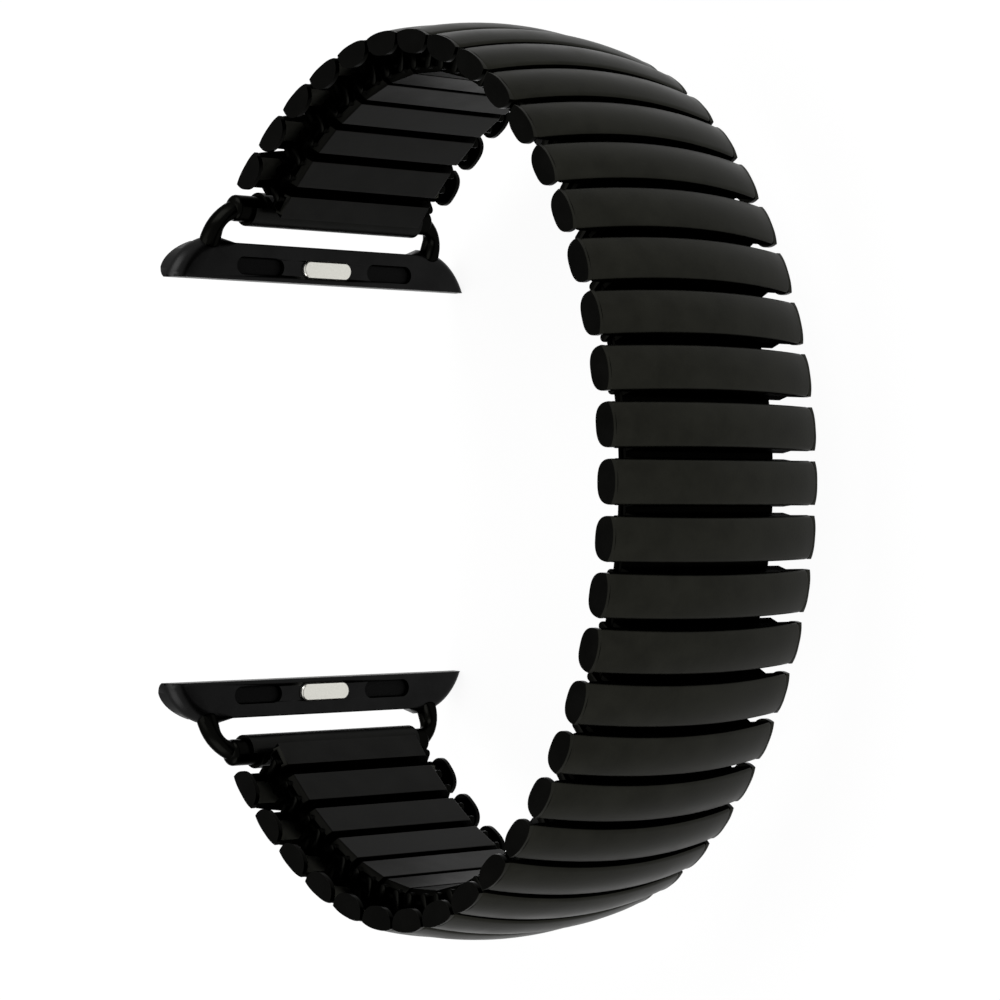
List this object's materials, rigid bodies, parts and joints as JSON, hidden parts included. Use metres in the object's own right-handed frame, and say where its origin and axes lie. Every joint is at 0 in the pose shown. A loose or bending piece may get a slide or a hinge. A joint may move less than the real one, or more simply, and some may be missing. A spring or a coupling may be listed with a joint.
{
  "type": "expansion watch bracelet",
  "caption": "Expansion watch bracelet of sprung steel links, bent round the wrist, with a hinged slide-in connector with a sprung catch at each end.",
  "frame": {"origin": "centre of the bracelet's bounding box, on the plane that the connector tips lie on", "axes": "bracelet lying on its edge; +X from the open side for the watch to the middle link, +Y along the bracelet's longer way, +Z across the band"},
  "size_m": [0.0428, 0.063, 0.0278],
  "materials": {
    "shell": "black satin coat on folded steel sheet",
    "connector": "black satin coat on steel",
    "sleeve": "black satin coat on folded steel sheet",
    "bright_steel": "bare fine-blasted steel",
    "spring_steel": "bare spring steel",
    "pad": "matte black"
  },
  "bodies": {
    "middle_link": {"link_18": "shell"},
    "link_17": {"link_17": "shell"},
    "link_16": {"link_16": "shell"},
    "link_15": {"link_15": "shell"},
    "link_14": {"link_14": "shell"},
    "link_13": {"link_13": "shell"},
    "link_12": {"link_12": "shell"},
    "link_11": {"link_11": "shell"},
    "link_10": {"link_10": "shell"},
    "link_09": {"link_09": "shell"},
    "link_08": {"link_08": "shell"},
    "link_07": {"link_07": "shell"},
    "link_06": {"link_06": "shell"},
    "link_05": {"link_05": "shell"},
    "link_04": {"link_04": "shell"},
    "link_03": {"link_03": "shell"},
    "link_02": {"link_02": "shell"},
    "link_01": {"link_01": "shell"},
    "end_link_upper": {"end_link_upper": "sleeve", "end_staples_upper": "connector", "end_spring_upper": "spring_steel"},
    "connector_upper": {"connector_upper": "connector", "side_pads_upper": "pad", "catch_plug_upper": "connector", "catch_spring_upper": "spring_steel"},
    "catch_upper": {"catch_upper": "bright_steel"},
    "link_19": {"link_19": "shell"},
    "link_20": {"link_20": "shell"},
    "link_21": {"link_21": "shell"},
    "link_22": {"link_22": "shell"},
    "link_23": {"link_23": "shell"},
    "link_24": {"link_24": "shell"},
    "link_25": {"link_25": "shell"},
    "link_26": {"link_26": "shell"},
    "link_27": {"link_27": "shell"},
    "link_28": {"link_28": "shell"},
    "link_29": {"link_29": "shell"},
    "link_30": {"link_30": "shell"},
    "link_31": {"link_31": "shell"},
    "link_32": {"link_32": "shell"},
    "link_33": {"link_33": "shell"},
    "link_34": {"link_34": "shell"},
    "link_35": {"link_35": "shell"},
    "end_link_lower": {"end_link_lower": "sleeve", "end_staples_lower": "connector", "end_spring_lower": "spring_steel"},
    "connector_lower": {"connector_lower": "connector", "side_pads_lower": "pad", "catch_plug_lower": "connector", "catch_spring_lower": "spring_steel"},
    "catch_lower": {"catch_lower": "bright_steel"}
  },
  "joints": [
    {"name": "link_17_hinge", "type": "hinge", "parent": "middle_link", "child": "link_17", "pos_m": [0.01925, 0.00056, 0.0139], "axis": [0, 0, -1], "range_deg": [-0.54, 4.67]},
    {"name": "link_16_hinge", "type": "hinge", "parent": "link_17", "child": "link_16", "pos_m": [0.01903, 0.0041, 0.0139], "axis": [0, 0, -1], "range_deg": [-0.55, 4.68]},
    {"name": "link_15_hinge", "type": "hinge", "parent": "link_16", "child": "link_15", "pos_m": [0.01848, 0.0076, 0.0139], "axis": [0, 0, -1], "range_deg": [-0.55, 4.7]},
    {"name": "link_14_hinge", "type": "hinge", "parent": "link_15", "child": "link_14", "pos_m": [0.01759, 0.01104, 0.0139], "axis": [0, 0, -1], "range_deg": [-0.56, 4.75]},
    {"name": "link_13_hinge", "type": "hinge", "parent": "link_14", "child": "link_13", "pos_m": [0.01638, 0.01437, 0.0139], "axis": [0, 0, -1], "range_deg": [-0.57, 4.89]},
    {"name": "link_12_hinge", "type": "hinge", "parent": "link_13", "child": "link_12", "pos_m": [0.01486, 0.01755, 0.0139], "axis": [0, 0, -1], "range_deg": [-0.61, 5.22]},
    {"name": "link_11_hinge", "type": "hinge", "parent": "link_12", "child": "link_11", "pos_m": [0.01303, 0.02053, 0.0139], "axis": [0, 0, -1], "range_deg": [-0.69, 5.86]},
    {"name": "link_10_hinge", "type": "hinge", "parent": "link_11", "child": "link_10", "pos_m": [0.01091, 0.02323, 0.0139], "axis": [0, 0, -1], "range_deg": [-0.81, 6.9]},
    {"name": "link_09_hinge", "type": "hinge", "parent": "link_10", "child": "link_09", "pos_m": [0.00852, 0.02556, 0.0139], "axis": [0, 0, -1], "range_deg": [-0.96, 8.26]},
    {"name": "link_08_hinge", "type": "hinge", "parent": "link_09", "child": "link_08", "pos_m": [0.0059, 0.02741, 0.0139], "axis": [0, 0, -1], "range_deg": [-1.12, 9.64]},
    {"name": "link_07_hinge", "type": "hinge", "parent": "link_08", "child": "link_07", "pos_m": [0.0031, 0.02868, 0.0139], "axis": [0, 0, -1], "range_deg": [-1.23, 10.58]},
    {"name": "link_06_hinge", "type": "hinge", "parent": "link_07", "child": "link_06", "pos_m": [0.00018, 0.02932, 0.0139], "axis": [0, 0, -1], "range_deg": [-1.25, 10.7]},
    {"name": "link_05_hinge", "type": "hinge", "parent": "link_06", "child": "link_05", "pos_m": [-0.0028, 0.02932, 0.0139], "axis": [0, 0, -1], "range_deg": [-1.16, 9.97]},
    {"name": "link_04_hinge", "type": "hinge", "parent": "link_05", "child": "link_04", "pos_m": [-0.00578, 0.02869, 0.0139], "axis": [0, 0, -1], "range_deg": [-1.01, 8.66]},
    {"name": "link_03_hinge", "type": "hinge", "parent": "link_04", "child": "link_03", "pos_m": [-0.00871, 0.02749, 0.0139], "axis": [0, 0, -1], "range_deg": [-0.85, 7.26]},
    {"name": "link_02_hinge", "type": "hinge", "parent": "link_03", "child": "link_02", "pos_m": [-0.01154, 0.02577, 0.0139], "axis": [0, 0, -1], "range_deg": [-0.71, 6.11]},
    {"name": "link_01_hinge", "type": "hinge", "parent": "link_02", "child": "link_01", "pos_m": [-0.0142, 0.02364, 0.0139], "axis": [0, 0, -1], "range_deg": [-0.63, 5.36]},
    {"name": "end_link_upper_hinge", "type": "hinge", "parent": "link_01", "child": "end_link_upper", "pos_m": [-0.01665, 0.02116, 0.0139], "axis": [0, 0, -1], "range_deg": [-0.58, 4.96]},
    {"name": "connector_upper_hinge", "type": "hinge", "parent": "end_link_upper", "child": "connector_upper", "pos_m": [-0.0188, 0.01939, 0.0139], "axis": [0, 0, -1], "range_deg": [-35, 60]},
    {"name": "catch_upper_press", "type": "slide", "parent": "connector_upper", "child": "catch_upper", "axis": [-1, 0, 0], "range_m": [0, 0.0003], "stiffness_N_per_m": 400, "springref_m": -0.0003, "deforming": ["catch_spring_upper"]},
    {"name": "link_19_hinge", "type": "hinge", "parent": "middle_link", "child": "link_19", "pos_m": [0.01925, -0.00056, 0.0139], "axis": [0, 0, 1], "range_deg": [-0.54, 4.67]},
    {"name": "link_20_hinge", "type": "hinge", "parent": "link_19", "child": "link_20", "pos_m": [0.01903, -0.0041, 0.0139], "axis": [0, 0, 1], "range_deg": [-0.55, 4.68]},
    {"name": "link_21_hinge", "type": "hinge", "parent": "link_20", "child": "link_21", "pos_m": [0.01848, -0.0076, 0.0139], "axis": [0, 0, 1], "range_deg": [-0.55, 4.7]},
    {"name": "link_22_hinge", "type": "hinge", "parent": "link_21", "child": "link_22", "pos_m": [0.01759, -0.01104, 0.0139], "axis": [0, 0, 1], "range_deg": [-0.56, 4.75]},
    {"name": "link_23_hinge", "type": "hinge", "parent": "link_22", "child": "link_23", "pos_m": [0.01638, -0.01437, 0.0139], "axis": [0, 0, 1], "range_deg": [-0.57, 4.89]},
    {"name": "link_24_hinge", "type": "hinge", "parent": "link_23", "child": "link_24", "pos_m": [0.01486, -0.01755, 0.0139], "axis": [0, 0, 1], "range_deg": [-0.61, 5.22]},
    {"name": "link_25_hinge", "type": "hinge", "parent": "link_24", "child": "link_25", "pos_m": [0.01303, -0.02053, 0.0139], "axis": [0, 0, 1], "range_deg": [-0.69, 5.86]},
    {"name": "link_26_hinge", "type": "hinge", "parent": "link_25", "child": "link_26", "pos_m": [0.01091, -0.02323, 0.0139], "axis": [0, 0, 1], "range_deg": [-0.81, 6.9]},
    {"name": "link_27_hinge", "type": "hinge", "parent": "link_26", "child": "link_27", "pos_m": [0.00852, -0.02556, 0.0139], "axis": [0, 0, 1], "range_deg": [-0.96, 8.26]},
    {"name": "link_28_hinge", "type": "hinge", "parent": "link_27", "child": "link_28", "pos_m": [0.0059, -0.02741, 0.0139], "axis": [0, 0, 1], "range_deg": [-1.12, 9.64]},
    {"name": "link_29_hinge", "type": "hinge", "parent": "link_28", "child": "link_29", "pos_m": [0.0031, -0.02868, 0.0139], "axis": [0, 0, 1], "range_deg": [-1.23, 10.58]},
    {"name": "link_30_hinge", "type": "hinge", "parent": "link_29", "child": "link_30", "pos_m": [0.00018, -0.02932, 0.0139], "axis": [0, 0, 1], "range_deg": [-1.25, 10.7]},
    {"name": "link_31_hinge", "type": "hinge", "parent": "link_30", "child": "link_31", "pos_m": [-0.0028, -0.02932, 0.0139], "axis": [0, 0, 1], "range_deg": [-1.16, 9.97]},
    {"name": "link_32_hinge", "type": "hinge", "parent": "link_31", "child": "link_32", "pos_m": [-0.00578, -0.02869, 0.0139], "axis": [0, 0, 1], "range_deg": [-1.01, 8.66]},
    {"name": "link_33_hinge", "type": "hinge", "parent": "link_32", "child": "link_33", "pos_m": [-0.00871, -0.02749, 0.0139], "axis": [0, 0, 1], "range_deg": [-0.85, 7.26]},
    {"name": "link_34_hinge", "type": "hinge", "parent": "link_33", "child": "link_34", "pos_m": [-0.01154, -0.02577, 0.0139], "axis": [0, 0, 1], "range_deg": [-0.71, 6.11]},
    {"name": "link_35_hinge", "type": "hinge", "parent": "link_34", "child": "link_35", "pos_m": [-0.0142, -0.02364, 0.0139], "axis": [0, 0, 1], "range_deg": [-0.63, 5.36]},
    {"name": "end_link_lower_hinge", "type": "hinge", "parent": "link_35", "child": "end_link_lower", "pos_m": [-0.01665, -0.02116, 0.0139], "axis": [0, 0, 1], "range_deg": [-0.58, 4.96]},
    {"name": "connector_lower_hinge", "type": "hinge", "parent": "end_link_lower", "child": "connector_lower", "pos_m": [-0.0188, -0.01939, 0.0139], "axis": [0, 0, 1], "range_deg": [-35, 60]},
    {"name": "catch_lower_press", "type": "slide", "parent": "connector_lower", "child": "catch_lower", "axis": [-1, 0, 0], "range_m": [0, 0.0003], "stiffness_N_per_m": 400, "springref_m": -0.0003, "deforming": ["catch_spring_lower"]}
  ],
  "couplings": [
    {"joint": "link_16_hinge", "follows": "link_17_hinge", "ratio": 1.0009},
    {"joint": "link_15_hinge", "follows": "link_17_hinge", "ratio": 1.0043},
    {"joint": "link_14_hinge", "follows": "link_17_hinge", "ratio": 1.0153},
    {"joint": "link_13_hinge", "follows": "link_17_hinge", "ratio": 1.0457},
    {"joint": "link_12_hinge", "follows": "link_17_hinge", "ratio": 1.1164},
    {"joint": "link_11_hinge", "follows": "link_17_hinge", "ratio": 1.2542},
    {"joint": "link_10_hinge", "follows": "link_17_hinge", "ratio": 1.4767},
    {"joint": "link_08_hinge", "follows": "link_09_hinge", "ratio": 1.1667},
    {"joint": "link_07_hinge", "follows": "link_09_hinge", "ratio": 1.2803},
    {"joint": "link_06_hinge", "follows": "link_09_hinge", "ratio": 1.2957},
    {"joint": "link_05_hinge", "follows": "link_09_hinge", "ratio": 1.2063},
    {"joint": "link_04_hinge", "follows": "link_09_hinge", "ratio": 1.0487},
    {"joint": "link_03_hinge", "follows": "link_09_hinge", "ratio": 0.87855},
    {"joint": "link_02_hinge", "follows": "link_09_hinge", "ratio": 0.73976},
    {"joint": "link_01_hinge", "follows": "link_09_hinge", "ratio": 0.64885},
    {"joint": "end_link_upper_hinge", "follows": "link_09_hinge", "ratio": 0.59976},
    {"joint": "link_20_hinge", "follows": "link_19_hinge", "ratio": 1.0009},
    {"joint": "link_21_hinge", "follows": "link_19_hinge", "ratio": 1.0043},
    {"joint": "link_22_hinge", "follows": "link_19_hinge", "ratio": 1.0153},
    {"joint": "link_23_hinge", "follows": "link_19_hinge", "ratio": 1.0457},
    {"joint": "link_24_hinge", "follows": "link_19_hinge", "ratio": 1.1164},
    {"joint": "link_25_hinge", "follows": "link_19_hinge", "ratio": 1.2542},
    {"joint": "link_26_hinge", "follows": "link_19_hinge", "ratio": 1.4767},
    {"joint": "link_28_hinge", "follows": "link_27_hinge", "ratio": 1.1667},
    {"joint": "link_29_hinge", "follows": "link_27_hinge", "ratio": 1.2803},
    {"joint": "link_30_hinge", "follows": "link_27_hinge", "ratio": 1.2957},
    {"joint": "link_31_hinge", "follows": "link_27_hinge", "ratio": 1.2063},
    {"joint": "link_32_hinge", "follows": "link_27_hinge", "ratio": 1.0487},
    {"joint": "link_33_hinge", "follows": "link_27_hinge", "ratio": 0.87855},
    {"joint": "link_34_hinge", "follows": "link_27_hinge", "ratio": 0.73976},
    {"joint": "link_35_hinge", "follows": "link_27_hinge", "ratio": 0.64885},
    {"joint": "end_link_lower_hinge", "follows": "link_27_hinge", "ratio": 0.59976}
  ]
}
